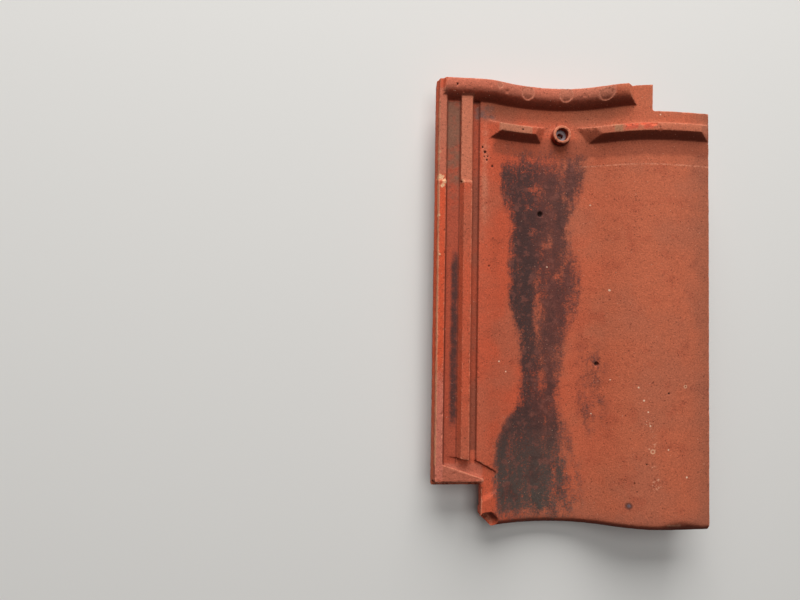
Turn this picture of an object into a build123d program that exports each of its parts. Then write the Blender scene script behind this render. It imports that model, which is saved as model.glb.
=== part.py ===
from build123d import *
import os
from math import asin, atan, degrees, sin, sqrt

# A pressed clay interlocking roof tile, weather face up. While it is drawn, X runs from the outer
# edge of the side lock, Y from the nose to the head, and Z from the bottom of the trough. A size
# called an inset is measured inwards from the head or from the right edge.

# Size of the tile, and how far the next tiles up the roof and beside it lap it
length = 434.0
width = 270.0
head_lap = 79.0
side_lap = 55.5
body_thickness = 12.0

# Wave of the weather face: shoulder beside the lock, trough, and crown under the cover flange.
# A share says how much of the bend between two of them belongs to the lower one
band_height = 14.8
shoulder_x = 46.0
trough_x = 118.0
shoulder_share = 0.82
crown_height = 31.8
crown_inset = 42.0
crown_share = 0.5
flank_fall = 2.0

# Side lock: two ribs and two gutters that the next tile's flange covers
lock_bottom = 5.0
ledge_width = 2.5
ledge_height = 11.7
rim_width = 7.0
rim_top = 20.9
gutter_floor = 14.8
gutter_width = 12.0
lock_rib_width = 8.2
lock_slope = 2.0
lock_rib_slope = 3.6
inner_gutter_floor = 12.4
inner_gutter_width = 4.4
lock_end = 41.5
lock_corner_radius = 1.5

# Near the head the two ribs of the lock are lower, and the inner one is wider
head_drop = 2.0
head_drop_inset = 100.0
head_rib_slope = 0.5

# Foot of the lock, where a plateau closes the gutters and they run out over the face
foot_depth = 8.0
foot_slant = 13.0
foot_ledge = 4.5
lock_rib_end = 70.0
lock_rib_slant = 5.0
outlet_slant = 12.0
outlet_width = 17.0
outlet_bank = 50.0
outlet_bank_slope = 4.0
outlet_step = 1.0
outlet_fade = 26.0
nose_corner = 48.0

# Cover flange, which lies over the next tile's lock
flange_gap = 0.6
flange_rim_width = 12.5
flange_rib_clearance = 2.5
flange_rib_draft = 1.5
flange_ceiling_gap = 1.2
flange_rib_start = 46.0
flange_rib_inset = 32.0
frame_rib_width = 10.0
frame_rib_slope = 5.0
frame_rib_bottom = 3.0
frame_rib_radius = 3.0
frame_clearance = 1.5

# Nose and head corners
nose_radius = 8.0
nose_lip_width = 19.0
nose_lip_depth = 16.0
nose_corner_cut = 13.0
shoulder_drop = 26.0
shoulder_width = 58.0

# Head roll, and the edge and the thinner band under it
roll_width = 20.2
roll_height = 8.5
roll_back_height = 8.0
roll_root = 4.0
roll_crest = 15.7
roll_left = 5.6
roll_left_slope = 2.0
roll_right_inset = 73.0
roll_right_slope = 9.5
roll_right_slant = 4.0
rebate_width = 3.8
rebate_thickness = 6.0
head_band_start = 138.0
head_band_cut = 2.5

# The two ribs across the face below the roll. An end runs from its foot at the nose side, over its
# back at the head side, to the lower edge of the rib's top
cross_height = 6.9
cross_foot_inset = 55.0
cross_top_low_inset = 47.5
cross_top_high_inset = 40.0
cross_back_inset = 38.0
left_cross_start = 53.0
left_cross_start_back = 49.0
left_cross_start_top = 64.0
left_cross_end = 109.0
left_cross_end_back = 114.0
left_cross_end_top = 102.0
right_cross_start = 156.0
right_cross_start_back = 144.5
right_cross_start_top = 164.0
right_cross_end_inset = 1.0
right_cross_end_top_inset = 12.5

# Nail boss with its stepped hole, and the pocket under it
boss_x = 128.7
boss_inset = 46.5
boss_radius = 9.5
boss_height = 8.0
boss_bore_radius = 6.0
boss_bore_depth = 7.0
nail_hole_radius = 2.75
pocket_x = 128.0
pocket_offset = 7.5
pocket_radius = 11.0
pocket_depth = 8.0
pocket_lip = 1.5

# Nibs that hook over the batten, and the pads that lie on it
rest_depth = 22.0
nib_low_inset = 47.5
nib_high_inset = 32.5
nib_side_slope = 0.13
nib_end_slope = 0.46
left_nib_start = 47.5
left_nib_end = 75.0
right_nib_start = 147.0
right_nib_end = 176.0
pad_depth = 4.0
pad_foot_inset = 79.0
left_pad_start = 52.0
left_pad_end = 73.5
left_pad_top_inset = 50.0
right_pad_start = 151.0
right_pad_end = 197.0
right_pad_top_inset = 62.0

# Ribs across the underside
cross_rib_width = 12.0
cross_rib_clearance = 0.8
cross_rib_start = 55.0
bracket_y = 126.0
bracket_width = 9.0
bracket_length = 52.0
bracket_depth = 9.0

# Places that follow from the sizes above
cover_width = width - side_lap
crown_x = width - crown_inset
gutter_start = ledge_width + rim_width + lock_slope
gutter_end = gutter_start + gutter_width
lock_rib_right = gutter_end + lock_rib_slope + lock_rib_width
inner_gutter_start = lock_rib_right + lock_slope
inner_gutter_end = inner_gutter_start + inner_gutter_width
band_start = inner_gutter_end + lock_slope
head_drop_start = length - head_drop_inset
foot_top = lock_end + foot_depth
flange_start = cover_width - frame_clearance
flange_rim_bottom = band_height + flange_gap
flange_rim_start = width - flange_rim_width
flange_ceiling = rim_top + flange_ceiling_gap
flange_rib_bottom = gutter_floor + flange_rib_clearance
flange_rib_x = cover_width + (gutter_start + gutter_end) / 2
flange_rib_width = gutter_width - 2 * flange_rib_clearance
roll_front = length - roll_width
roll_right = width - roll_right_inset
shoulder_y = length - shoulder_drop
tab_end = width - shoulder_width
boss_y = length - boss_inset
pocket_y = boss_y - pocket_offset
pad_foot = length - pad_foot_inset
cross_rib_end = head_lap - roll_width - cross_rib_clearance
cross_rib_low = cross_rib_end - cross_rib_width

# Overlap between pieces that are joined, and a size larger than anything cut away
overlap = 1.0
over = 60.0


def block(x_low, x_high, y_low, y_high, z_low, z_high):
    """Box between the given corners."""
    size = (x_high - x_low, y_high - y_low, z_high - z_low)
    return Pos(x_low, y_low, z_low) * Box(*size, align=(Align.MIN, Align.MIN, Align.MIN))


def along_length(outline, y_low, y_high):
    """Solid of an outline drawn in X and Z, from y_low to y_high."""
    return extrude(Plane.XZ.offset(-y_high) * outline, y_high - y_low)


def double_bend(run, rise, low_share):
    """Angle in degrees, hollow radius and crowned radius of an S bend that starts and ends level."""
    angle = 2 * atan(rise / run)
    both = run / sin(angle)
    return degrees(angle), both * low_share, both * (1 - low_share)


def wave(drop, x_start, x_end):
    """Edges of the face's wave, or of the parallel wave that lies drop below it."""
    left_angle, left_low, left_high = double_bend(trough_x - shoulder_x, band_height, shoulder_share)
    right_angle, right_low, right_high = double_bend(crown_x - trough_x, crown_height, crown_share)
    flank_run = width - crown_x
    flank_radius = (flank_run**2 + flank_fall**2) / (2 * flank_fall)
    flank_angle = degrees(asin((x_end - crown_x) / (flank_radius - drop)))
    shoulder = (shoulder_x, band_height - left_high)
    crown = (crown_x, crown_height - right_high)
    flank = (crown_x, crown_height - flank_radius)
    return [
        Line((x_start, band_height - drop), (shoulder_x, band_height - drop)),
        CenterArc(shoulder, left_high - drop, 90, -left_angle),
        CenterArc((trough_x, left_low), left_low + drop, 270 - left_angle, left_angle),
        CenterArc((trough_x, right_low), right_low + drop, 270, right_angle),
        CenterArc(crown, right_high - drop, 90 + right_angle, -right_angle),
        CenterArc(flank, flank_radius - drop, 90, -flank_angle),
    ]


def face_height(x):
    """Height of the weather face at x."""
    ray = Line((x, -over), (x, over))
    return max(point.Y for edge in wave(0, 0, width) for point in edge.find_intersection_points(ray))


def on_face(x, y, rise):
    """Point that lies rise above the weather face."""
    return Vector(x, y, face_height(x) + rise)


def wave_layer(upper_drop, lower_drop, x_start, x_end):
    """Outline between two parallel waves."""
    upper = wave(upper_drop, x_start, x_end)
    lower = wave(lower_drop, x_start, x_end)
    ends = [Line(upper[0] @ 0, lower[0] @ 0), Line(upper[-1] @ 1, lower[-1] @ 1)]
    return make_face(upper + lower + ends)


def under_layer(x_low, x_high, y_low, y_high, upper_drop, lower_drop):
    """Piece of the wave between two depths below the face."""
    layer = along_length(wave_layer(upper_drop, lower_drop, 0, width), y_low, y_high)
    return layer & block(x_low, x_high, y_low, y_high, -over, over)


def under_rib(x_low, x_high, y_low, y_high, depth):
    """Rib below the slab that reaches depth below the face."""
    return under_layer(x_low, x_high, y_low, y_high, body_thickness - overlap, depth)


def across(*outline):
    """Solid of an outline of Y and height above the face, carried along the wave past both edges."""
    start = Plane(origin=(-overlap, 0, band_height), x_dir=(0, 1, 0), z_dir=(1, 0, 0))
    return sweep(start * make_face(outline), Plane.XZ * Wire(wave(0, -overlap, width + overlap)))


def beyond(foot, back, top):
    """Large block above the sloping plane through three points, to cut an end with."""
    normal = (back - foot).cross(top - foot)
    if normal.Z < 0:
        normal = -normal
    plane = Plane(origin=foot, x_dir=back - foot, z_dir=normal)
    return plane * Box(length, length, length, align=(Align.CENTER, Align.CENTER, Align.MIN))


def lock_outline(drop, rib_slope):
    """Side lock with its ribs drop lower than their full height."""
    top = rim_top - drop
    points = [
        (0, lock_bottom),
        (0, ledge_height),
        (ledge_width - 1, ledge_height + 1),
        (ledge_width, top),
        (ledge_width + rim_width, top),
        (gutter_start, gutter_floor),
        (gutter_end, gutter_floor),
        (gutter_end + rib_slope, top),
        (lock_rib_right, top),
        (inner_gutter_start, inner_gutter_floor),
        (inner_gutter_end, inner_gutter_floor),
        (band_start, band_height),
        (band_start + lock_slope, band_height),
        (band_start + lock_slope, band_height - body_thickness),
        (band_start - lock_slope, lock_bottom),
    ]
    return make_face(Polyline(*points, close=True))


def flange_outlines():
    """Rim, rib and frame rib under the cover flange, each reaching up into it."""
    rib_half = flange_rib_width / 2
    rib_root = rib_half + flange_rib_draft
    frame_start = flange_start - frame_rib_width
    rim = Polyline(
        (flange_rim_start, flange_rim_bottom),
        (width, flange_rim_bottom),
        (width, flange_ceiling + overlap),
        (flange_rim_start - flange_rib_draft, flange_ceiling + overlap),
        close=True,
    )
    rib = Polyline(
        (flange_rib_x - rib_half, flange_rib_bottom),
        (flange_rib_x + rib_half, flange_rib_bottom),
        (flange_rib_x + rib_root, flange_ceiling + overlap),
        (flange_rib_x - rib_root, flange_ceiling + overlap),
        close=True,
    )
    frame = Polyline(
        (frame_start, frame_rib_bottom),
        (flange_start, frame_rib_bottom),
        (flange_start, flange_ceiling + overlap),
        (frame_start - frame_rib_slope, face_height(frame_start) - body_thickness + overlap),
        close=True,
    )
    frame = make_face(frame)
    return make_face(rim), make_face(rib), fillet(frame.vertices().sort_by(Axis.Y)[:2], frame_rib_radius)


def body():
    """The waved slab with its lock and its cover flange, at full length."""
    slab = wave_layer(0, body_thickness, band_start, width)
    rim, rib, frame = flange_outlines()
    hollow = Pos((flange_start + width) / 2, flange_ceiling - over / 2)
    hollow = hollow * Rectangle(width - flange_start, over)
    slab = slab - hollow
    solid = along_length(slab, 0, length)
    solid += along_length(lock_outline(0, lock_rib_slope), 0, head_drop_start)
    solid += along_length(lock_outline(head_drop, head_rib_slope), head_drop_start, length)
    solid += along_length(rim, 0, length)
    solid += along_length(rib, flange_rib_start, length - flange_rib_inset)
    solid += along_length(frame, cross_rib_low, shoulder_y)
    thicker_ceiling = block(
        flange_start, width, head_drop_start, length,
        flange_ceiling - head_drop, flange_ceiling + overlap,
    )
    return solid + thicker_ceiling


def head_roll():
    """Rounded roll across the head, from the lock's rim to the tab."""
    dome = ThreePointArc((roll_front, 0), (roll_front + roll_crest, roll_height), (length, roll_back_height))
    base = Polyline((length, roll_back_height), (length, -roll_root), (roll_front, -roll_root), (roll_front, 0))
    roll = across(*dome.edges(), *base.edges())
    crest_y = roll_front + roll_crest
    rim_rise = rim_top - head_drop - band_height
    left = beyond(
        on_face(roll_left, roll_front, rim_rise),
        on_face(roll_left, length, rim_rise),
        on_face(roll_left + roll_left_slope, crest_y, roll_height),
    )
    right = beyond(
        on_face(roll_right, roll_front, 0),
        on_face(roll_right - roll_right_slant, length, 0),
        on_face(roll_right - roll_right_slope, crest_y, roll_height),
    )
    return (roll - left - right) & block(ledge_width, width, 0, length, -over, over)


def cross_rib(start, start_back, start_top, end, end_back, end_top):
    """Low rib across the face below the roll, with sloping sides and ends."""
    foot_y = length - cross_foot_inset
    back_y = length - cross_back_inset
    top_y = length - cross_top_low_inset
    outline = Polyline(
        (foot_y, 0),
        (foot_y, -overlap),
        (back_y, -overlap),
        (back_y, 0),
        (length - cross_top_high_inset, cross_height),
        (top_y, cross_height),
        close=True,
    )
    rib = across(*outline.edges())
    for foot, back, top in [(start, start_back, start_top), (end, end_back, end_top)]:
        rib -= beyond(on_face(foot, foot_y, 0), on_face(back, back_y, 0), on_face(top, top_y, cross_height))
    return rib


def cross_ribs():
    """The two ribs beside the nail boss."""
    left = cross_rib(
        left_cross_start, left_cross_start_back, left_cross_start_top,
        left_cross_end, left_cross_end_back, left_cross_end_top,
    )
    right_end = width - right_cross_end_inset
    right = cross_rib(
        right_cross_start, right_cross_start_back, right_cross_start_top,
        right_end, right_end, width - right_cross_end_top_inset,
    )
    return (left + right) & block(0, width, 0, length, -over, over)


def nail_boss():
    """Round boss for a nail, standing on the face."""
    top = face_height(boss_x) + boss_height
    return Pos(boss_x, boss_y, top - boss_height) * Cylinder(boss_radius, 2 * boss_height)


def nail_hole():
    """Stepped hole through the boss, with the pocket that it opens into below."""
    face = face_height(boss_x)
    counterbore = Pos(boss_x, boss_y, face + boss_height) * Cylinder(boss_bore_radius, 2 * boss_bore_depth)
    through = Pos(boss_x, boss_y, 0) * Cylinder(nail_hole_radius, 2 * over)
    mouth = face - body_thickness
    pocket = Pos(pocket_x, pocket_y, mouth) * Cylinder(pocket_radius, 2 * pocket_depth)
    lip = Pos(pocket_x, pocket_y, mouth) * Cone(pocket_radius + 2 * pocket_lip, pocket_radius, 2 * pocket_lip)
    return counterbore + through + pocket + lip


def nib(start, end):
    """Nib that hooks over the batten, narrower at its foot than at its root."""
    low = length - nib_low_inset
    high = length - nib_high_inset
    middle = Pos((start + end) / 2, (low + high) / 2)
    rise = rest_depth + band_height
    foot = Rectangle(end - start, high - low)
    root = Rectangle(end - start + 2 * nib_end_slope * rise, high - low + 2 * nib_side_slope * rise)
    whole = loft([Pos(0, 0, -rest_depth) * middle * foot, Pos(0, 0, band_height) * middle * root])
    top = wave(body_thickness / 2, 0, width)
    sides = Polyline(top[-1] @ 1, (width, -over), (0, -over), top[0] @ 0)
    return whole & along_length(make_face(top + sides.edges()), 0, length)


def pads():
    """Pads on the nose side of the nibs, the left one level and the right one a wedge."""
    left_top = length - left_pad_top_inset
    left = under_rib(left_pad_start, left_pad_end, pad_foot, left_top, body_thickness + pad_depth)
    wedge = Polyline(
        (pad_foot, overlap - body_thickness),
        (pad_foot, -body_thickness - pad_depth),
        (length - right_pad_top_inset, -body_thickness),
        (length - right_pad_top_inset, overlap - body_thickness),
        close=True,
    )
    right = across(*wedge.edges()) & block(right_pad_start, right_pad_end, 0, length, -over, over)
    return left + right


def lock_foot():
    """Plateau that closes the gutters at the lower end of the lock."""
    plan = Polyline(
        (ledge_width, lock_end),
        (outlet_bank, lock_end),
        (outlet_bank, foot_top),
        (gutter_start, foot_top + foot_slant),
        (ledge_width, foot_top + foot_slant),
        close=True,
    )
    return Pos(0, 0, lock_bottom) * extrude(make_face(plan), rim_top - lock_bottom)


def gutter_outlet():
    """Space that lets the gutters run out over the face beside the lock's foot."""
    face_edge = band_start + outlet_width + outlet_bank_slope
    floor = Polyline(
        (gutter_start, gutter_floor),
        (inner_gutter_start, inner_gutter_floor),
        (outlet_bank + outlet_bank_slope, inner_gutter_floor - outlet_step),
        (face_edge, face_height(face_edge) - outlet_step),
        (face_edge, over),
        (gutter_start, over),
        close=True,
    )
    plan = Polyline(
        (gutter_start, lock_rib_end),
        (band_start, lock_rib_end - lock_rib_slant),
        (face_edge, lock_rib_end - lock_rib_slant - outlet_slant),
        (face_edge, 0),
        (outlet_bank, 0),
        (outlet_bank, foot_top),
        (gutter_start, foot_top + foot_slant),
        close=True,
    )
    fade = Polyline(
        (outlet_fade, band_height),
        (lock_end, lock_bottom),
        (length, lock_bottom),
        (length, over),
        (outlet_fade, over),
        close=True,
    )
    outlet = along_length(make_face(floor), 0, length) & extrude(make_face(plan), over)
    return outlet & extrude(Plane.YZ * make_face(fade), width)


def corner_cuts():
    """What is cut away at the tile's corners."""
    notch = block(-overlap, nose_corner, -overlap, lock_end, -over, over)
    tab = block(tab_end, width + overlap, shoulder_y, length + overlap, -over, over)
    ledge = block(-overlap, outlet_bank, lock_end - overlap, lock_end + foot_ledge, ledge_height, over)
    corner = Polyline(
        (nose_corner - overlap, -overlap),
        (nose_corner + nose_corner_cut, -overlap),
        (nose_corner - overlap, nose_corner_cut),
        close=True,
    )
    corner = Pos(0, 0, -over) * extrude(make_face(corner), 2 * over)
    radius = lock_corner_radius
    round_corner = block(-overlap, radius, length - radius, length + overlap, -over, over)
    round_corner -= Pos(radius, length - radius) * Cylinder(radius, 2 * over)
    return notch + tab + ledge + corner + round_corner


def head_underside_cuts():
    """Rebate along the head's lower edge, and the thinner band between the trough and the tab."""
    deep = body_thickness + roll_height
    rebate = under_layer(0, width, length - rebate_width, length, rebate_thickness, deep)
    band_drop = body_thickness - head_band_cut
    return rebate + under_layer(head_band_start, width, shoulder_y, length, band_drop, deep)


def nose_rounding():
    """What is cut away to round the upper edge of the nose."""
    edge = ThreePointArc(
        (0, -nose_radius),
        (nose_radius * (1 - sqrt(0.5)), nose_radius * (sqrt(0.5) - 1)),
        (nose_radius, 0),
    )
    outside = Polyline(
        (nose_radius, 0),
        (nose_radius, overlap),
        (-overlap, overlap),
        (-overlap, -nose_radius),
        (0, -nose_radius),
    )
    return across(*edge.edges(), *outside.edges())


def tile():
    solid = body()
    solid += under_rib(lock_end, width, 0, nose_lip_width, nose_lip_depth)
    solid += under_rib(cross_rib_start, flange_start, cross_rib_low, cross_rib_end, rest_depth)
    solid += under_rib(
        flange_start - bracket_length, flange_start - overlap,
        bracket_y - bracket_width / 2, bracket_y + bracket_width / 2, body_thickness + bracket_depth,
    )
    solid -= head_underside_cuts()
    solid += head_roll()
    solid += cross_ribs()
    solid += nail_boss()
    solid += nib(left_nib_start, left_nib_end)
    solid += nib(right_nib_start, right_nib_end)
    solid += pads()
    solid -= nail_hole()
    solid -= gutter_outlet()
    solid += lock_foot()
    solid -= corner_cuts()
    return solid - nose_rounding()


os.makedirs("parts", exist_ok=True)
roof_tile = Pos(-width / 2, -length / 2, rest_depth) * tile()
export_step(roof_tile, "parts/roof_tile.step")
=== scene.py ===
import math

import bmesh
import bpy
import numpy as np
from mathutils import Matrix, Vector


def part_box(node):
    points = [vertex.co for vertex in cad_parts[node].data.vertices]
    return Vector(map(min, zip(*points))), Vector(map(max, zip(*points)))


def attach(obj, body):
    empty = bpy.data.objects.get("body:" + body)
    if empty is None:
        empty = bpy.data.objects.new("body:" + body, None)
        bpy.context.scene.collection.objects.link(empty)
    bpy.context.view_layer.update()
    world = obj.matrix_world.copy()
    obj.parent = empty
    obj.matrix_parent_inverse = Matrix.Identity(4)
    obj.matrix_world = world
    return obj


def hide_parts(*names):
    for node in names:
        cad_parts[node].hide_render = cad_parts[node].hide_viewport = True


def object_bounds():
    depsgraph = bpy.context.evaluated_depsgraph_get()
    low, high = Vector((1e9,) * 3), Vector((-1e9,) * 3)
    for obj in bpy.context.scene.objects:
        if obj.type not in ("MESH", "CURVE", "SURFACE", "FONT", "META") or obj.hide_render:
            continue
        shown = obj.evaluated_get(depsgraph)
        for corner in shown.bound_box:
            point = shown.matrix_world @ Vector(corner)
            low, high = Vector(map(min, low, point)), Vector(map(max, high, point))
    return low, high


# A clay interlocking roof tile that lies weather face up on a pale floor, seen from above.
# Places on the tile are in tile millimetres: X from the outer edge of the side lock, Y from the
# nose to the head, and Z up from the floor.

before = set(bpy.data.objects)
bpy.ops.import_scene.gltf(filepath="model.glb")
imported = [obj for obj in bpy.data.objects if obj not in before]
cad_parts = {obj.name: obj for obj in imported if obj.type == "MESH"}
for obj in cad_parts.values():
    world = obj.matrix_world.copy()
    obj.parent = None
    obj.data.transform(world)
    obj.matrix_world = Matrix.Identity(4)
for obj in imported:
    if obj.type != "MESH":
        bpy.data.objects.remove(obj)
cad_low, cad_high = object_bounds()
tile_low, tile_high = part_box("roof_tile")
tile_size = np.array(tile_high - tile_low) * 1000
width, head = tile_size[:2]

# Camera of the photograph, in metres and degrees, with its lens and sensor in millimetres
camera_place = (-0.2198, -0.0209, 0.6076)
camera_turn = (2.08, -5.26, 0.96)
camera_lens = 27.0
camera_sensor = 36.0
camera_near = 0.02

# Soft lamps, in metres and watts: name, place, size and power
lamps = [("head_lamp", (-0.2, 3.2, 1.85), 2.6, 185), ("top_lamp", (0.0, 0.5, 2.5), 1.6, 25)]
world_strength = 0.05
floor_half_width = 4.0

# Mesh of the tile
weld_gap = 1e-6
voxel = 0.8
triangle_limit = 190000

# Vertical share of the normal, above which a point is on the weather face or below which underneath
facing_up = 0.25
facing_down = -0.6

# How an edge is found: passes of smoothing, the height that counts as sharp, and what gets chips
edge_passes = 6
sharp_height = 0.35
chipped_from = 0.5

# Random values of the surface noise, and how its cells look them up
noise_table = 8192
noise_steps = (73856093, 19349663, 83492791)
noise_offset = 1000.0

# Seeds of the random shapes
edge_wear_seed = 3
fine_edge_wear_seed = 4
chip_places_seed = 11
clay_bumps_seed = 20
breaks_seed = 50
edge_chips_seed = 100
chip_rows_seed = 300

# Waviness and grain of the clay surface, as size and depth of the bumps
clay_bumps = [(34.0, 0.25), (11.0, 0.14), (3.2, 0.14), (1.7, 0.10)]

# Wear of the edges: how far an edge is rubbed down, and the small chips along it
edge_wear = 0.2
edge_wear_size = 6.0
chip_count = 170
chip_radius = (1.4, 4.5)
chip_depth = (0.2, 0.7)

# Round marks pressed into the head roll: place across, distance from the head, radius and depth
press_marks = [
    (62.0, 4.2, 3.4, 0.35),
    (92.5, 7.2, 6.8, 0.55),
    (132.3, 7.0, 6.8, 0.55),
    (168.5, 8.3, 6.4, 0.50),
]
press_mark_edge = 1.0

# Pits in the weather face: place, radius and depth
pits = [
    (109.2, 307.4, 2.8, 3.4),
    (163.7, 158.5, 2.0, 2.8),
    (54.1, 252.8, 0.9, 0.9),
    (227.4, 132.1, 1.1, 0.9),
    (206.5, 64.0, 1.0, 0.7),
    (197.8, 37.5, 0.8, 0.6),
    (46.2, 369.0, 1.1, 1.4),
    (48.6, 364.2, 1.4, 1.6),
    (51.4, 360.2, 0.9, 0.9),
    (48.0, 359.8, 0.8, 0.8),
    (50.6, 356.6, 1.1, 1.1),
    (56.5, 351.0, 1.2, 1.0),
    (88.0, 390.0, 1.0, 1.2),
    (19.0, 427.0, 1.0, 1.4),
]

# Soft hollows in the weather face: place, radius across and along, and depth
dents = [
    (240.0, 3.0, 24.0, 9.0, 1.4),
    (70.0, 425.0, 3.0, 2.4, 0.5),
    (52.0, 428.0, 2.4, 2.0, 0.4),
    (150.0, 426.0, 3.0, 2.0, 0.3),
]

# Lumps broken out of the edges: centre and radius of the hollow, and whether its clay looks fresh
breaks = [
    ((56.0, 3.5, 36.0), 12.2, False),
    ((49.0, 19.0, 43.2), 6.4, False),
    ((5.2, 419.5, 45.0), 3.4, False),
    ((9.2, 430.5, 47.0), 2.0, False),
    ((11.0, 428.0, 47.6), 2.0, False),
    ((14.0, 425.0, 47.0), 2.4, False),
    ((10.5, 424.0, 47.2), 2.2, True),
    ((21.5, 54.5, 45.0), 2.7, False),
    ((43.5, 49.0, 44.8), 2.5, False),
    ((36.0, 50.0, 45.5), 3.0, False),
]

# Rows of small chips along an edge: two ends, count, radius, how far the centre wanders, and fresh or not
chip_rows = [
    ((184.0, 395.2, 54.6), (212.0, 395.2, 60.2), 9, 3.6, 1.3, True),
    ((243.0, 408.5, 55.0), (269.0, 408.5, 54.0), 12, 1.8, 0.7, True),
    ((3.0, 45.4, 43.8), (49.0, 45.4, 43.8), 26, 1.5, 0.6, False),
    ((9.4, 70.0, 43.8), (9.4, 330.0, 43.8), 30, 1.5, 0.6, False),
    ((47.0, 30.0, 38.2), (47.0, 44.0, 38.2), 5, 2.2, 0.8, True),
    ((56.0, 394.8, 42.8), (98.0, 394.8, 32.4), 10, 2.0, 0.7, False),
]

# Steps in the underside of the lock: area across and along, and how far it lies back
lock_recesses = [
    (0.0, 36.0, 359.0, 387.0, 1.5),
    (0.0, 21.0, 187.0, 359.0, 0.5),
    (21.0, 41.0, 187.0, 359.0, 1.1),
    (0.0, 21.0, 46.0, 148.0, 0.5),
    (21.0, 41.0, 46.0, 148.0, 1.1),
]

# Left and right edge of the stain down the trough, and its strength, by distance from the nose
stain_left = [
    (0, 70), (40, 65), (88, 67), (118, 87), (149, 91), (226, 79), (303, 77), (340, 68), (372, 72),
    (434, 72),
]
stain_right = [
    (0, 136), (40, 138), (88, 134), (118, 129), (149, 129), (180, 135), (226, 146), (303, 138),
    (354, 152), (434, 150),
]
stain_strength = [
    (0, 0.2), (14, 0.7), (30, 1.1), (95, 1.1), (215, 1.1), (330, 1.05), (350, 0.8), (372, 0.55),
    (434, 0.5),
]

# Where the stain fades towards the head and changes towards the nose, and where its left streak ends
stain_start = (346.0, 392.0)
stain_nose_part = (40.0, 120.0)
stain_left_streak = (96.0, 116.0)

# The thinner middle of the stain, and the faint tongue beside it
stain_middle = (101.0, 117.0, 106.0, 250.0, 5.0, 30.0)
tongue_across = (146.0, 172.0)
tongue_along = (92.0, 176.0)

# Places inside the stain where the clay shows through
bare_spots = [
    (101.0, 333.0, 7.0),
    (96.6, 313.0, 4.0),
    (105.0, 290.0, 8.0),
    (116.4, 278.6, 7.0),
    (128.0, 245.0, 6.0),
    (134.0, 262.0, 5.0),
]

# Areas whose clay differs, with painted shade and dirt below the ribs and a worn roll top with a painted
# highlight: across from and to, along from and to, softness of the edge, and strength
worn_left_rib = (62.0, 98.0, 386.0, 396.0, 1.6, 0.75)
worn_right_rib = (162.0, 268.0, 387.0, 396.0, 1.6, 0.4)
olive_right_rib = (175.5, 182.0, 387.0, 396.0, 1.6, 0.7)
chipped_right_rib = (184.5, 195.5, 388.0, 396.0, 1.8, 0.9)
chipped_right_rib_end = (200.5, 209.5, 388.0, 396.0, 1.8, 0.9)
# Top of the roll: wear, with a painted highlight along its back
worn_roll_highlight = (8.0, 176.0, 422.0, 434.0, 2.0, 0.5)
worn_plateau = (10.0, 50.0, 42.0, 62.0, 3.0, 0.6)
worn_rim = (2.5, 10.5, 340.0, 424.0, 1.5, 0.6)
worn_lock_rib = (24.0, 36.5, 332.0, 420.0, 1.0, 0.75)
nose_scratch = (226.0, 240.0, 5.0, 7.0, 1.2, 0.7)
# Painted shade and dirt below the ribs
shade_below_ribs = (58.0, 272.0, 364.0, 384.0, 5.0, 0.7)

# Clay of the face: where its colour turns tan, where it darkens at the right edge and at the nose
tan_from = (70.0, 190.0)
right_edge_from = (255.0, 284.0)
nose_edge_to = (4.0, 26.0)

# Areas of the lock and the head: across from and to, along from and to, and softness of both edges
# The gutters are painted darker, partly dirt and partly painted shade
outer_gutter = (10.4, 23.8, 60.0, 413.0, 1.0, 1.0)
inner_gutter = (37.0, 43.0, 75.0, 410.0, 1.0, 1.0)
black_strip = (16.5, 23.6, 102.0, 262.0, 2.5, 14.0)
bright_rim = (-2.0, 9.8, 150.0, 336.0, 2.0, 22.0)
pink_rim = (2.4, 10.4, 40.0, 150.0, 1.0, 26.0)
pale_streak = (45.0, 52.0, 290.0, 392.0, 4.0, 30.0)
dull_head = (44.0, 84.0, 394.0, 414.0, 8.0, 4.0)
dark_corner = (38.0, 59.0, 397.0, 410.0, 4.0, 4.0)
# Painted shadow of the roll on the face below it, partly dirt
roll_shadow_and_dirt = (46.0, 190.0, 402.0, 419.0, 8.0, 5.0)
grime_from = (285.0, 385.0)

# Painted shade in the corners of the gutters, and the pale outer edge of the rim: across from and to
gutter_corner_shade = [(10.4, 11.4), (23.0, 23.9), (42.2, 43.6)]
rim_edge = (2.2, 3.3)
lock_marks_from = 62.0
lock_marks_to = 414.0

# Faint line across the head with a painted highlight, and small pale chips near the nose: along or across,
# and how they slant
highlight_line_along = (358.2, 359.4)
highlight_line_across = (150.0, 272.0)
highlight_line_slant = 0.017
pale_chips_across = (216.0, 226.0)
pale_chips_along = (40.0, 126.0)
pale_chips_slant = 0.13

# Cream patches on the rim and rib of the lock: place across and along, and radius
cream_spots = [
    (4.5, 337.0, 3.0),
    (8.0, 333.0, 2.6),
    (6.0, 328.5, 2.0),
    (3.4, 362.0, 1.4),
    (3.2, 355.0, 1.2),
    (3.2, 300.0, 1.2),
    (4.0, 262.0, 1.2),
    (26.0, 334.0, 1.8),
]

# Pale specks on the weather face: place and radius
specks = [
    (174.4, 231.5, 1.0),
    (116.6, 254.5, 0.7),
    (219.0, 404.0, 0.7),
    (199.0, 137.4, 0.8),
    (203.8, 125.0, 0.9),
    (207.6, 114.2, 0.7),
    (209.6, 100.9, 0.8),
    (175.2, 143.6, 0.6),
    (226.8, 78.5, 0.7),
    (245.4, 52.2, 0.9),
    (159.4, 109.5, 0.6),
    (66.0, 160.0, 0.8),
    (73.5, 150.0, 0.7),
    (158.0, 317.0, 0.7),
]
speck_rings = [(211.9, 76.4, 2.3), (244.0, 139.0, 1.7)]
blue_spot = (190.8, 23.6, 3.3)
# Painted reflection in the boss's bore: place, outer and inner radius
bore_reflection = (128.7, 387.5, 5.8, 2.9)
boss_ring = (128.7, 387.5, 10.0)
boss_ring_height = 28.0

# Lime on the underside of the lock and the flange: across from and to, along from and to
lime_patches = [
    (17.0, 26.0, 300.0, 354.0),
    (11.0, 27.0, 223.0, 271.0),
    (16.0, 40.0, 88.0, 143.0),
    (219.0, 225.0, 100.0, 245.0),
]

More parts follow.
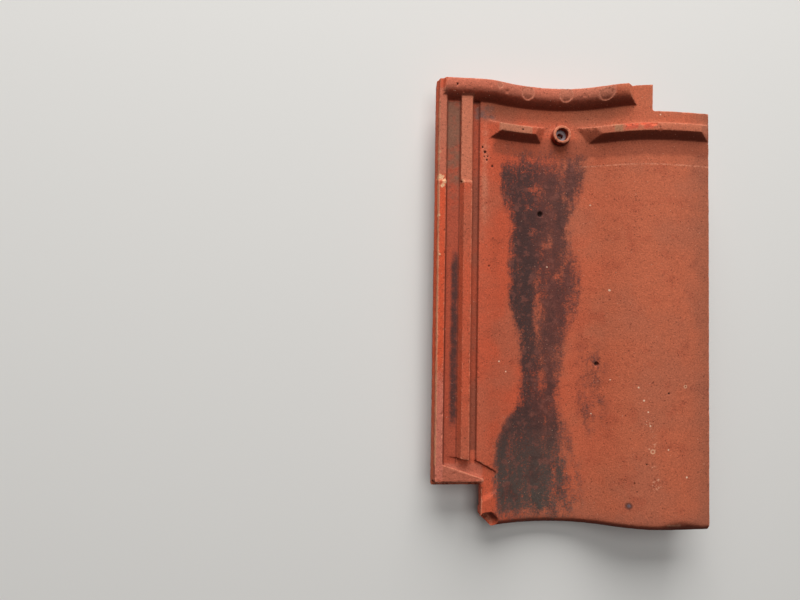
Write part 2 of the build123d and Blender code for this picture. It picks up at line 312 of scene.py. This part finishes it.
# Lime and growth on the rest of the underside: across from and to, along from and to
bloom_area = (54.0, 196.0, 140.0, 358.0)
bloom_beside_lock = (34.0, 92.0, 235.0, 350.0)
cross_rib_lime = (84.0, 190.0, 47.0, 60.0)
dark_run = (99.0, 107.0, 190.0, 390.0)
dark_blot = (84.0, 122.0, 388.0, 414.0)

# Where the bloom is dense or light, the nibs and pads with the gap between them, and the flange
bloom_slant = 0.52
dense_bloom_from = (240.0, 300.0)
dense_bloom_to = (280.0, 320.0)
light_bloom_from = (205.0, 255.0)
nibs_and_pads = (44.0, 200.0, 352.0, 403.0)
between_nibs = (78.0, 145.0)
limy_below = (9.0, 17.0)
flange_from = (212.0, 216.0)


def srgb(red, green, blue):
    """Linear colour from the red, green and blue of a screen colour, 0 to 255."""
    return tuple(((v / 255 + 0.055) / 1.055) ** 2.4 for v in (red, green, blue)) + (1.0,)


def smooth_step(value, low, high):
    share = np.clip((value - low) / (high - low), 0, 1)
    return share * share * (3 - 2 * share)


def lattice_noise(points, size, seed):
    """Smooth random value from -1 to 1 at each point, with bumps of the given size."""
    table = np.random.default_rng(seed).uniform(-1, 1, noise_table)
    scaled = points / size + noise_offset
    cell = np.floor(scaled).astype(np.int64)
    part = scaled - cell
    part = part * part * (3 - 2 * part)
    total = np.zeros(len(points))
    for corner in range(8):
        step = np.array([corner & 1, corner >> 1 & 1, corner >> 2 & 1])
        weight = np.prod(np.where(step, part, 1 - part), axis=1)
        index = (cell + step) @ np.array(noise_steps)
        total += weight * table[index & noise_table - 1]
    return total


def tile_points(mesh):
    """Vertices of a mesh in tile millimetres."""
    points = np.empty(len(mesh.vertices) * 3)
    mesh.vertices.foreach_get("co", points)
    return (points.reshape(-1, 3) - np.array(tile_low)) * 1000


def set_tile_points(mesh, points):
    points = np.clip(points, 0, tile_size) / 1000 + np.array(tile_low)
    mesh.vertices.foreach_set("co", points.ravel())
    mesh.update()


def vertex_normals(mesh):
    normals = np.empty(len(mesh.vertices) * 3, np.float32)
    mesh.vertex_normals.foreach_get("vector", normals)
    return normals.reshape(-1, 3).astype(float)


class Neighbours:
    """Averages of values over the vertices that share an edge."""

    def __init__(self, mesh):
        ends = np.empty(len(mesh.edges) * 2, np.int32)
        mesh.edges.foreach_get("vertices", ends)
        self.first, self.second = ends.reshape(-1, 2).T
        self.count = len(mesh.vertices)
        self.degree = np.maximum(np.bincount(ends, minlength=self.count), 1)

    def mean(self, values):
        values = values.reshape(self.count, -1)
        result = np.empty_like(values)
        for k in range(values.shape[1]):
            column = values[:, k]
            total = np.bincount(self.first, column[self.second], self.count)
            total += np.bincount(self.second, column[self.first], self.count)
            result[:, k] = total / self.degree
        return result

    def smooth(self, values, passes):
        values = values.reshape(self.count, -1)
        for _ in range(passes):
            values = (values + self.mean(values)) / 2
        return values


def apply_modifier(piece, kind, **settings):
    """Adds a modifier and makes its result the piece's mesh."""
    modifier = piece.modifiers.new(kind.title(), kind)
    for name, value in settings.items():
        setattr(modifier, name, value)
    graph = bpy.context.evaluated_depsgraph_get()
    mesh = bpy.data.meshes.new_from_object(piece.evaluated_get(graph))
    piece.modifiers.clear()
    piece.data = mesh


def welded_copy(node, name):
    """New object with the CAD node's shape as one closed mesh."""
    mesh = node.data.copy()
    shape = bmesh.new()
    shape.from_mesh(mesh)
    bmesh.ops.remove_doubles(shape, verts=shape.verts, dist=weld_gap)
    shape.to_mesh(mesh)
    shape.free()
    mesh.materials.clear()
    piece = bpy.data.objects.new(name, mesh)
    bpy.context.scene.collection.objects.link(piece)
    return piece


def edge_sharpness(points, normals, around):
    """Positive at ridges and negative in grooves, from about -1 to 1."""
    away = points - around.smooth(points, edge_passes)
    return np.clip(np.einsum("ij,ij->i", away, normals) / sharp_height, -1.5, 1.5)


def hollow_out(points, centre, radius, seed):
    """Moves the points inside a rough ball out to its surface, and returns which they are."""
    away = points - np.array(centre)
    distance = np.linalg.norm(away, axis=1)
    near = np.flatnonzero(distance < radius * 1.3)
    rough = radius * (1 + 0.08 * lattice_noise(points[near], min(radius * 0.45, 4.0), seed))
    inside = distance[near] < rough
    near = near[inside]
    scale = rough[inside] / np.maximum(distance[near], 1e-6)
    points[near] = np.array(centre) + away[near] * scale[:, None]
    return near


def press_and_pit(points, normals):
    """Recesses the press marks, pits and dents into the weather face."""
    up = normals[:, 2] > facing_up
    depth = np.zeros(len(points))
    for x, inset, radius, mark_depth in press_marks:
        distance = np.hypot(points[:, 0] - x, points[:, 1] - (head - inset))
        depth += mark_depth * (1 - smooth_step(distance, radius - press_mark_edge, radius))
    for x, y, radius, pit_depth in pits:
        distance = np.hypot(points[:, 0] - x, points[:, 1] - y)
        depth += pit_depth * (1 - smooth_step(distance, radius * 0.35, radius * 1.25))
    for x, y, radius_across, radius_along, dent_depth in dents:
        distance = np.hypot((points[:, 0] - x) / radius_across, (points[:, 1] - y) / radius_along)
        depth += dent_depth * (1 - smooth_step(distance, 0.2, 1.0))
    return points - normals * (depth * up)[:, None]


def recess_lock(points, normals):
    """Steps in the underside of the side lock."""
    down = normals[:, 2] < facing_down
    depth = np.zeros(len(points))
    for x_low, x_high, y_low, y_high, step_depth in lock_recesses:
        across = (points[:, 0] > x_low) & (points[:, 0] < x_high)
        along = (points[:, 1] > y_low) & (points[:, 1] < y_high)
        depth[across & along & down] = step_depth
    return points - normals * depth[:, None]


def break_edges(points, normals, ridge):
    """Chips the edges, and returns how fresh the clay is at each point, from 0 to 1."""
    fresh = np.zeros(len(points))
    random = np.random.default_rng(chip_places_seed)
    edges = np.flatnonzero(ridge > chipped_from)
    for seed, index in enumerate(random.choice(edges, chip_count, replace=False)):
        radius = random.uniform(*chip_radius)
        depth = random.uniform(*chip_depth)
        centre = points[index] + normals[index] * (radius - depth)
        fresh[hollow_out(points, centre, radius, edge_chips_seed + seed)] = random.uniform(0, 0.7)
    for start, end, count, radius, wander, is_fresh in chip_rows:
        row = np.array(end) - np.array(start)
        for k in range(count):
            centre = np.array(start) + row * (k + random.uniform(0, 1)) / count
            centre = centre + random.uniform(-wander, wander, 3)
            chip = radius * random.uniform(0.7, 1.2)
            fresh[hollow_out(points, centre, chip, chip_rows_seed + k)] = is_fresh
    for seed, (centre, radius, is_fresh) in enumerate(breaks):
        fresh[hollow_out(points, centre, radius, breaks_seed + seed)] = is_fresh
    return fresh


def shape_tile():
    """The tile's visible mesh: the CAD shape with worn and chipped edges and a clay surface."""
    piece = welded_copy(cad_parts["roof_tile"], "clay_tile")
    apply_modifier(piece, "REMESH", mode="VOXEL", voxel_size=voxel / 1000, adaptivity=0)
    mesh = piece.data
    around = Neighbours(mesh)
    points = tile_points(mesh)
    set_tile_points(mesh, points)
    normals = vertex_normals(mesh)
    sharp = edge_sharpness(points, normals, around)
    ridge = np.clip(sharp, 0, 1)

    worn = 0.5 + 0.5 * lattice_noise(points, edge_wear_size, edge_wear_seed)
    worn += 0.35 * lattice_noise(points, edge_wear_size / 3, fine_edge_wear_seed)
    points -= normals * (edge_wear * ridge * np.clip(worn, 0, 1.4))[:, None]
    points = recess_lock(press_and_pit(points, normals), normals)
    fresh = break_edges(points, normals, ridge)
    for seed, (size, depth) in enumerate(clay_bumps):
        bumps = 0.5 + 0.5 * lattice_noise(points, size, clay_bumps_seed + seed)
        points -= normals * (depth * bumps)[:, None]
    set_tile_points(mesh, points)

    for name, values in [("wear", ridge), ("cavity", np.clip(-sharp, 0, 1)), ("fresh", fresh)]:
        values = around.smooth(values, 2).ravel().astype(np.float32)
        mesh.attributes.new(name, "FLOAT", "POINT").data.foreach_set("value", values)
    triangles = sum(len(p.vertices) - 2 for p in mesh.polygons)
    if triangles > triangle_limit:
        apply_modifier(
            piece, "DECIMATE", decimate_type="COLLAPSE", ratio=triangle_limit / triangles,
            use_collapse_triangulate=True,
        )
        set_tile_points(piece.data, tile_points(piece.data))
    piece.data.polygons.foreach_set("use_smooth", np.ones(len(piece.data.polygons), bool))
    return piece


class Graph:
    """A material's node tree, written as formulas."""

    def __init__(self, name):
        self.material = bpy.data.materials.new(name)
        self.material.use_nodes = True
        self.tree = self.material.node_tree
        self.shader = self.tree.nodes["Principled BSDF"]
        self.made = {}

    def plug(self, value, socket):
        if isinstance(value, bpy.types.NodeSocket):
            self.tree.links.new(value, socket)
        else:
            socket.default_value = value

    def node(self, kind, inputs, **settings):
        node = self.tree.nodes.new(kind)
        for name, value in settings.items():
            setattr(node, name, value)
        for name, value in inputs.items():
            self.plug(value, node.inputs[name])
        return node

    def once(self, kind, inputs, **settings):
        """The node with these inputs and settings, made the first time that it is asked for."""
        key = (kind, *settings.values(), *inputs.values())
        if key not in self.made:
            self.made[key] = self.node(kind, inputs, **settings)
        return self.made[key]

    def math(self, operation, *values):
        return self.once("ShaderNodeMath", dict(enumerate(values)), operation=operation).outputs[0]

    def vector(self, operation, first, second):
        return self.once("ShaderNodeVectorMath", {0: first, 1: second}, operation=operation).outputs

    def moved(self, place, offset, scale=(1.0, 1.0, 1.0)):
        """Place scaled, then shifted."""
        inputs = {"Vector": place, "Location": offset, "Scale": scale}
        return self.node("ShaderNodeMapping", inputs).outputs[0]

    def times(self, first, *others):
        for other in others:
            first = self.math("MULTIPLY", first, other)
        return first

    def plus(self, first, *others):
        for other in others:
            first = self.math("ADD", first, other)
        return first

    def highest(self, first, *others):
        for other in others:
            first = self.math("MAXIMUM", first, other)
        return first

    def inverse(self, value):
        return self.math("SUBTRACT", 1.0, value)

    def swing(self, noise, amount):
        """Noise about zero, as wide as the amount."""
        return self.times(self.plus(noise, -0.5), amount)

    def step(self, value, low, high):
        """From 0 at low to 1 at high, smoothly."""
        inputs = {"Value": value, "From Min": low, "From Max": high}
        node = self.once("ShaderNodeMapRange", inputs, interpolation_type="SMOOTHSTEP", clamp=False)
        return node.outputs[0]

    def between(self, value, low, high, soft):
        """1 between low and high, fading over soft on both sides."""
        rising = self.step(value, low - soft, low + soft)
        return self.times(rising, self.inverse(self.step(value, high - soft, high + soft)))

    def noise(self, vector, size, detail=2.0, roughness=0.5):
        """Noise from 0 to 1, with blobs of about the given size in the vector's units."""
        inputs = {"Vector": vector, "Scale": 0.5 / size, "Detail": detail, "Roughness": roughness}
        return self.node("ShaderNodeTexNoise", inputs).outputs[0]

    def curve(self, value, low, high, points):
        """Value looked up in a curve through points of share and height, from low to high."""
        inputs = {"Value": value, "From Min": low, "From Max": high}
        share = self.once("ShaderNodeMapRange", inputs, clamp=False)
        node = self.node("ShaderNodeFloatCurve", {"Value": share.outputs[0]})
        line = node.mapping.curves[0]
        while len(line.points) < len(points):
            line.points.new(0.5, 0.5)
        for point, (place, level) in zip(line.points, points):
            point.location = ((place - low) / (high - low), level)
        node.mapping.update()
        return node.outputs[0]

    def mix(self, factor, first, second, blend="MIX"):
        node = self.node("ShaderNodeMix", {"Factor": factor}, data_type="RGBA", blend_type=blend)
        self.plug(first, node.inputs["A"])
        self.plug(second, node.inputs["B"])
        return node.outputs["Result"]


class ClayGraph(Graph):
    """The clay's node tree, with the places and noises that its layers share."""

    def __init__(self):
        super().__init__("fired_clay")
        metres = self.node("ShaderNodeTexCoord", {}).outputs["Object"]
        self.place = self.moved(metres, tuple(-1000 * v for v in tile_low), (1000.0,) * 3)
        self.flat = self.vector("MULTIPLY", self.place, (1.0, 1.0, 0.0))[0]
        self.x, self.y, self.z = self.node("ShaderNodeSeparateXYZ", {0: self.place}).outputs
        normal = self.node("ShaderNodeNewGeometry", {}).outputs["Normal"]
        facing = self.node("ShaderNodeSeparateXYZ", {0: normal}).outputs
        self.weather = self.step(facing[2], -0.15, 0.15)
        self.under = self.inverse(self.weather)
        # Painted shade on the slopes of the weather face that face the nose
        self.nose_slope_shade = self.times(self.weather, self.step(self.times(facing[1], -1.0), 0.12, 0.55))
        self.wear, self.cavity, self.fresh = (
            self.node("ShaderNodeAttribute", {}, attribute_name=name).outputs["Fac"]
            for name in ("wear", "cavity", "fresh")
        )
        self.broad = self.noise(self.place, 30.0, 3.0)
        self.patchy = self.noise(self.place, 9.0, 4.0, 0.6)
        self.medium = self.noise(self.place, 4.0, 3.0, 0.6)
        self.fine = self.noise(self.place, 0.9, 3.0, 0.7)
        self.grain = self.noise(self.place, 0.6, 1.0, 0.6)
        stretched = self.moved(self.place, (0.0, 0.0, 0.0), (1.0, 0.22, 1.0))
        self.streaks = self.noise(stretched, 5.0, 3.0, 0.6)
        self.rubble = self.plus(self.times(self.medium, 0.6), self.times(self.fine, 0.4))

    def zone(self, x_low, x_high, y_low, y_high, soft, soft_along=None):
        """1 inside an area of the tile, fading over soft at its edges."""
        across = self.between(self.x, x_low, x_high, soft)
        return self.times(across, self.between(self.y, y_low, y_high, soft_along or soft))

    def blot(self, x_low, x_high, y_low, y_high, soft, wander):
        """1 inside an area of the tile whose outline wanders."""
        x = self.plus(self.x, self.swing(self.patchy, wander))
        y = self.plus(self.y, self.swing(self.broad, wander))
        return self.times(self.between(x, x_low, x_high, soft), self.between(y, y_low, y_high, soft))

    def spot(self, x, y, radius, soft):
        """1 inside a round area of the tile."""
        distance = self.vector("DISTANCE", self.flat, (x, y, 0.0))["Value"]
        return self.inverse(self.step(distance, radius - soft, radius + soft))

    def spots(self, places, soft):
        """1 inside any of several round areas, each fading over a share of its radius."""
        mask = 0.0
        for x, y, radius in places:
            mask = self.highest(mask, self.spot(x, y, radius, radius * soft))
        return mask

    def ragged(self, mask, noise, roughness, low=0.2, high=1.0):
        """Mask that a noise breaks up, most where the mask is weak."""
        rough = self.swing(noise, roughness)
        return self.times(self.step(self.plus(mask, rough), low, high), self.step(mask, 0.0, 0.3))

    def paint(self, colour, mask, strength, new_colour):
        return self.mix(self.times(mask, strength), colour, new_colour)


def clay_body(clay):
    """Clay of the weather side: orange beside the lock, tan and mottled towards the cover flange."""
    wander = clay.swing(clay.broad, 130.0)
    across = clay.step(clay.plus(clay.x, wander), *tan_from)
    colour = clay.mix(across, srgb(190, 84, 55), srgb(184, 96, 66))
    colour = clay.paint(colour, clay.step(clay.broad, 0.45, 0.65), 0.5, srgb(164, 94, 70))
    colour = clay.paint(colour, clay.step(clay.patchy, 0.5, 0.7), 0.45, srgb(164, 76, 52))
    edge = clay.step(clay.plus(clay.x, clay.times(clay.patchy, 30.0)), *right_edge_from)
    colour = clay.paint(colour, edge, 0.6, srgb(148, 88, 66))
    low = clay.times(clay.inverse(clay.step(clay.y, *nose_edge_to)), across)
    return clay.paint(colour, clay.ragged(low, clay.medium, 1.2), 0.5, srgb(148, 84, 64))


def gutter_colours(clay, colour):
    """Gutters of the lock, darkened by dirt and painted shade, with a black strip and dark corners."""
    gutter = clay.zone(*outer_gutter)
    # Darker gutter clay: dirt and painted shade
    colour = clay.paint(colour, gutter, 0.7, srgb(156, 68, 47))
    grime = clay.times(gutter, clay.step(clay.y, *grime_from))
    colour = clay.paint(colour, clay.ragged(grime, clay.medium, 2.4, 0.0, 1.2), 0.85, srgb(118, 84, 66))
    strip = clay.zone(*black_strip)
    crumbs = clay.plus(clay.times(clay.fine, 0.5), clay.times(clay.medium, 0.5))
    colour = clay.paint(colour, clay.ragged(strip, crumbs, 2.6, 0.0, 1.1), 0.9, srgb(58, 42, 40))
    # Darker inner gutter: dirt and painted shade
    inner = clay.zone(*inner_gutter)
    colour = clay.paint(colour, inner, 0.7, srgb(146, 64, 42))
    damp = clay.ragged(clay.times(inner, clay.step(clay.broad, 0.4, 0.6)), clay.fine, 2.4)
    return clay.paint(colour, damp, 0.4, srgb(104, 68, 54))


def lock_colours(clay, colour):
    """Gutters, bright and pink stretches of the rim, and a pale streak beside the lock."""
    colour = gutter_colours(clay, colour)
    bright = clay.zone(*bright_rim)
    colour = clay.paint(colour, clay.ragged(bright, clay.medium, 0.9), 0.8, srgb(204, 80, 46))
    pink = clay.zone(*pink_rim)
    colour = clay.paint(colour, clay.ragged(pink, clay.fine, 1.8), 0.7, srgb(196, 112, 94))
    streak = clay.zone(*pale_streak)
    colour = clay.paint(colour, clay.ragged(streak, clay.rubble, 2.8, 0.2, 1.4), 0.6, srgb(194, 122, 94))
    colour = clay.paint(colour, clay.zone(*dull_head), 0.7, srgb(150, 88, 66))
    corner = clay.ragged(clay.zone(*dark_corner), clay.medium, 2.4)
    colour = clay.paint(colour, corner, 0.85, srgb(104, 80, 74))
    # Painted shade in the corners of the gutters
    line = 0.0
    for x_low, x_high in gutter_corner_shade:
        line = clay.highest(line, clay.zone(x_low, x_high, lock_marks_from, lock_marks_to, 0.5))
    colour = clay.paint(colour, line, 0.65, srgb(84, 36, 24))
    edge = clay.zone(*rim_edge, lock_marks_from, lock_marks_to, 0.4)
    edge = clay.ragged(edge, clay.medium, 2.4, 0.2, 0.9)
    colour = clay.paint(colour, edge, 0.8, srgb(226, 152, 112))
    cream = clay.ragged(clay.spots(cream_spots, 0.6), clay.fine, 2.2)
    return clay.paint(colour, clay.times(cream, clay.weather), 0.8, srgb(226, 184, 140))


def head_colours(clay, colour):
    """Worn tops of the head ribs, roll and lock with a painted highlight on the roll, orange chips, press
    marks, painted shadow and dirt below the roll, and painted shade and dirt below the ribs.
    """
    # Painted shadow of the roll on the face below it, partly dirt
    roll_shadow = clay.zone(*roll_shadow_and_dirt)
    colour = clay.paint(colour, clay.times(roll_shadow, clay.weather), 0.55, srgb(132, 70, 46))
    # The list holds painted shade and dirt below the ribs, and a worn roll top with a painted highlight
    for area, new_colour in [
        (shade_below_ribs, srgb(140, 70, 48)),
        (worn_roll_highlight, srgb(200, 122, 98)),
        (worn_left_rib, srgb(176, 116, 88)),
        (worn_right_rib, srgb(192, 114, 86)),
        (olive_right_rib, srgb(156, 114, 84)),
        (worn_plateau, srgb(166, 98, 78)),
        (worn_rim, srgb(182, 110, 86)),
        (worn_lock_rib, srgb(190, 114, 86)),
        (nose_scratch, srgb(214, 156, 124)),
        (chipped_right_rib, srgb(192, 82, 58)),
        (chipped_right_rib_end, srgb(192, 82, 58)),
    ]:
        mask = clay.ragged(clay.times(clay.zone(*area[:5]), clay.weather), clay.rubble, 2.2, 0.1, 0.9)
        colour = clay.paint(colour, mask, area[5], new_colour)
    boss_x, boss_y, boss_radius = boss_ring
    ring = clay.spot(boss_x, boss_y, boss_radius, 0.5)
    ring = clay.times(ring, clay.step(clay.z, boss_ring_height, boss_ring_height + 1))
    colour = clay.paint(colour, clay.times(ring, clay.weather), 0.5, srgb(206, 126, 94))
    marks = [(x, head - inset, radius) for x, inset, radius, depth in press_marks]
    inside = clay.spots([(x, y, radius - press_mark_edge) for x, y, radius in marks], 0.1)
    whole = clay.spots([(x, y, radius + 0.3) for x, y, radius in marks], 0.06)
    rim = clay.times(whole, clay.inverse(inside), clay.step(clay.fine, 0.3, 0.6), clay.weather)
    colour = clay.paint(colour, clay.times(inside, clay.weather), 0.5, srgb(176, 108, 84))
    return clay.paint(colour, rim, 0.6, srgb(212, 138, 110))


def stain(clay, colour):
    """Dark growth down the trough, broken up by the grain, with a fainter tongue beside it."""
    wander = clay.swing(clay.patchy, 18.0)
    moved = clay.plus(clay.x, wander)
    left = clay.times(clay.curve(clay.y, 0.0, head, share_of_width(stain_left)), width)
    right = clay.times(clay.curve(clay.y, 0.0, head, share_of_width(stain_right)), width)
    nose_part = clay.inverse(clay.step(clay.y, *stain_nose_part))
    spread = clay.plus(12.0, clay.times(nose_part, 16.0))
    from_left = clay.math("SUBTRACT", moved, left)
    from_right = clay.math("SUBTRACT", right, moved)
    inner = clay.step(from_left, -8.0, 7.0)
    inner = clay.times(inner, clay.step(from_right, clay.times(spread, -1.0), spread))
    start = clay.inverse(clay.step(clay.plus(clay.y, wander), *stain_start))
    strength = clay.curve(clay.y, 0.0, head, stain_strength)
    middle = clay.zone(*stain_middle)
    tongue = clay.times(clay.between(moved, *tongue_across, 16.0), clay.between(clay.y, *tongue_along, 22.0))
    whole = clay.times(inner, start, strength, clay.inverse(clay.times(middle, 0.38)))
    bare = clay.times(clay.spots(bare_spots, 0.7), clay.step(clay.medium, 0.42, 0.6))
    whole = clay.times(whole, clay.inverse(clay.times(bare, 0.65)))
    whole = clay.times(clay.highest(whole, clay.times(tongue, 0.38)), clay.weather)
    mottle = clay.plus(
        clay.swing(clay.fine, 2.0),
        clay.swing(clay.medium, 1.3),
        clay.swing(clay.streaks, 1.8),
    )
    amount = clay.times(clay.step(clay.plus(whole, mottle), 0.0, 1.0), clay.step(whole, 0.0, 0.3))
    left_streak = clay.inverse(clay.step(moved, *stain_left_streak))
    growth = clay.mix(left_streak, srgb(80, 48, 44), srgb(48, 42, 42))
    growth = clay.mix(nose_part, growth, srgb(58, 62, 58))
    growth = clay.paint(growth, clay.step(clay.medium, 0.5, 0.66), 0.6, srgb(118, 70, 60))
    growth = clay.paint(growth, clay.inverse(clay.step(clay.patchy, 0.36, 0.5)), 0.5, srgb(46, 38, 38))
    return clay.paint(colour, amount, 0.93, growth)


def share_of_width(places):
    """Points of a curve with the place across the tile as a share of its width."""
    return [(y, x / width) for y, x in places]


def weather_marks(clay, colour):
    """Single marks on the weather face: a faint line with a painted highlight, a painted reflection in the
    boss's bore, pits with painted shade, specks and pale chips.
    """
    # Painted highlight along a faint line across the head
    line = clay.times(
        clay.between(clay.plus(clay.y, clay.times(clay.x, highlight_line_slant)), *highlight_line_along, 0.6),
        clay.between(clay.x, *highlight_line_across, 8.0),
    )
    colour = clay.paint(colour, clay.times(line, clay.step(clay.fine, 0.35, 0.6)), 0.7, srgb(210, 136, 106))
    # Painted reflection in the boss's bore
    x, y, outer, inner = bore_reflection
    ring = clay.times(clay.spot(x, y, outer, 0.3), clay.inverse(clay.spot(x, y, inner, 0.4)), clay.weather)
    colour = clay.paint(colour, ring, 0.85, srgb(150, 156, 164))
    # Painted shade in the pits
    hollow = clay.spots([(x, y, radius * 0.8) for x, y, radius, depth in pits], 0.35)
    colour = clay.paint(colour, clay.times(hollow, clay.weather), 0.85, srgb(38, 26, 22))
    x, y, radius = blue_spot
    colour = clay.paint(colour, clay.spot(x, y, radius, 1.2), 0.8, srgb(78, 50, 44))
    colour = clay.paint(colour, clay.spot(x, y, radius * 0.45, 0.8), 0.7, srgb(110, 100, 108))
    dots = clay.times(clay.spots(specks, 0.35), clay.weather)
    colour = clay.paint(colour, dots, 0.8, srgb(236, 198, 168))
    centres = clay.spots([(x, y, radius * 0.5) for x, y, radius in speck_rings], 0.3)
    rings = clay.times(clay.spots(speck_rings, 0.15), clay.inverse(centres), clay.weather)
    colour = clay.paint(colour, rings, 0.6, srgb(226, 176, 140))
    chips = clay.times(
        clay.between(clay.plus(clay.x, clay.times(clay.y, pale_chips_slant)), *pale_chips_across, 3.0),
        clay.between(clay.y, *pale_chips_along, 8.0),
        clay.step(clay.medium, 0.5, 0.6),
        clay.step(clay.fine, 0.56, 0.62),
    )
    return clay.paint(colour, clay.times(chips, clay.weather), 0.6, srgb(222, 170, 138))


def lime_bloom(clay):
    """1 where lime has bloomed on the middle of the underside, densest towards the flange."""
    along = clay.plus(clay.y, clay.swing(clay.broad, 90.0))
    slant = clay.plus(clay.x, clay.times(along, bloom_slant), clay.times(clay.patchy, 50.0))
    bloom = clay.blot(*bloom_area, 14.0, 60.0)
    dense = clay.times(bloom, clay.step(slant, *dense_bloom_from))
    dense = clay.times(dense, clay.inverse(clay.step(along, *dense_bloom_to)))
    light = clay.times(bloom, clay.step(along, *light_bloom_from))
    beside = clay.times(clay.blot(*bloom_beside_lock, 8.0, 36.0), 0.6)
    lime = clay.highest(clay.times(dense, 0.85), clay.times(light, 0.5), beside)
    crumbs = clay.plus(clay.times(clay.rubble, 0.6), clay.times(clay.patchy, 0.4))
    return clay.ragged(lime, crumbs, 3.2, 0.3, 1.1)


def underside_colours(clay):
    """Clay of the underside, with lime bloom, dark growth between the nibs and limy nibs and pads."""
    colour = clay.mix(clay.step(clay.broad, 0.35, 0.65), srgb(186, 84, 60), srgb(202, 106, 84))
    colour = clay.paint(colour, clay.step(clay.x, *flange_from), 0.7, srgb(172, 72, 46))
    colour = clay.paint(colour, lime_bloom(clay), 0.75, srgb(208, 172, 164))
    patch = 0.0
    for area in lime_patches:
        patch = clay.highest(patch, clay.blot(*area, 3.0, 16.0))
    colour = clay.paint(colour, clay.ragged(patch, clay.rubble, 3.4, 0.3, 1.1), 0.8, srgb(206, 192, 188))
    limy = clay.zone(*nibs_and_pads, 2.0)
    limy = clay.times(limy, clay.inverse(clay.between(clay.x, *between_nibs, 3.0)))
    low = clay.inverse(clay.step(clay.z, *limy_below))
    limy = clay.ragged(clay.times(limy, clay.plus(0.45, clay.times(low, 0.4))), clay.fine, 1.6)
    colour = clay.paint(colour, limy, 0.6, srgb(170, 136, 126))
    rib = clay.ragged(clay.blot(*cross_rib_lime, 4.0, 30.0), clay.rubble, 2.8)
    colour = clay.paint(colour, rib, 0.75, srgb(226, 200, 196))
    run = clay.times(clay.blot(*dark_run, 4.0, 12.0), 0.7)
    growth = clay.highest(clay.blot(*dark_blot, 9.0, 60.0), run)
    return clay.paint(colour, clay.ragged(growth, clay.rubble, 2.4), 0.75, srgb(80, 72, 70))


def clay_material():
    """Fired red clay: weather side and underside, with rubbed edges, dirt and painted shade in the creases,
    painted shade on slopes facing the nose, fresh chips and grain.
    """
    clay = ClayGraph()
    colour = head_colours(clay, lock_colours(clay, clay_body(clay)))
    # Painted shade on the slopes that face the nose
    colour = clay.paint(colour, clay.nose_slope_shade, 0.78, srgb(88, 28, 14))
    colour = weather_marks(clay, stain(clay, colour))
    colour = clay.mix(clay.under, colour, underside_colours(clay))

    rubbed = clay.step(clay.plus(clay.wear, clay.times(clay.plus(clay.medium, clay.fine), 0.7)), 1.0, 1.4)
    colour = clay.paint(colour, rubbed, 0.6, srgb(212, 132, 102))
    # Darker in the creases: dirt and painted shade
    crease_dirt_and_shade = clay.step(clay.plus(clay.cavity, clay.times(clay.fine, 0.5)), 0.5, 1.3)
    colour = clay.paint(colour, crease_dirt_and_shade, 0.65, srgb(104, 62, 50))
    chipped = clay.ragged(clay.fresh, clay.fine, 0.6)
    colour = clay.paint(colour, chipped, 0.7, srgb(198, 84, 54))

    shade = clay.plus(0.31, clay.times(clay.fine, 0.7), clay.times(clay.grain, 0.7))
    colour = clay.mix(1.0, colour, shade, "MULTIPLY")
    crowd = clay.swing(clay.patchy, 0.25)
    dark = clay.plus(clay.noise(clay.moved(clay.place, (3.1, 8.7, 2.9)), 0.9, 1.0), crowd)
    colour = clay.paint(colour, clay.step(dark, 0.66, 0.72), 0.6, srgb(96, 46, 32))
    pale = clay.step(clay.noise(clay.moved(clay.place, (7.3, 1.9, 4.1)), 0.7, 1.0), 0.74, 0.79)
    colour = clay.paint(colour, pale, 0.5, srgb(226, 170, 140))
    clay.plug(colour, clay.shader.inputs["Base Color"])
    clay.shader.inputs["Roughness"].default_value = 0.85
    clay.shader.inputs["Specular IOR Level"].default_value = 0.25

    relief = clay.plus(clay.times(clay.fine, 0.7), clay.times(clay.grain, 0.5), clay.times(clay.medium, 0.5))
    bump = clay.node("ShaderNodeBump", {"Height": relief, "Strength": 0.6, "Distance": 0.0006})
    clay.plug(bump.outputs[0], clay.shader.inputs["Normal"])
    return clay.material


def plain_material(name, colour, roughness):
    graph = Graph(name)
    graph.shader.inputs["Base Color"].default_value = colour
    graph.shader.inputs["Roughness"].default_value = roughness
    return graph.material


def make_floor():
    half = floor_half_width
    mesh = bpy.data.meshes.new("floor")
    corners = [(-half, -half), (half, -half), (half, half), (-half, half)]
    mesh.from_pydata([(x, y, cad_low.z) for x, y in corners], [], [(0, 1, 2, 3)])
    mesh.materials.append(plain_material("pale_floor", srgb(218, 216, 212), 0.9))
    floor = bpy.data.objects.new("floor", mesh)
    bpy.context.scene.collection.objects.link(floor)


def make_camera():
    data = bpy.data.cameras.new("camera")
    data.lens = camera_lens
    data.sensor_width = camera_sensor
    data.clip_start = camera_near
    camera = bpy.data.objects.new("camera", data)
    camera.location = camera_place
    camera.rotation_euler = [math.radians(v) for v in camera_turn]
    bpy.context.scene.collection.objects.link(camera)
    bpy.context.scene.camera = camera


def soft_lamp(name, place, size, power):
    """Square lamp that faces the tile."""
    data = bpy.data.lights.new(name, "AREA")
    data.size = size
    data.energy = power
    lamp = bpy.data.objects.new(name, data)
    lamp.location = place
    lamp.rotation_euler = (-Vector(place)).to_track_quat("-Z", "Y").to_euler()
    bpy.context.scene.collection.objects.link(lamp)


def make_lights():
    for name, place, size, power in lamps:
        soft_lamp(name, place, size, power)
    world = bpy.data.worlds.new("world")
    world.use_nodes = True
    world.node_tree.nodes["Background"].inputs["Strength"].default_value = world_strength
    bpy.context.scene.world = world


make_camera()
make_floor()
make_lights()
tile = shape_tile()
tile.data.materials.append(clay_material())
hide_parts("roof_tile")
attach(tile, "root")
bpy.context.scene.view_settings.view_transform = "Standard"
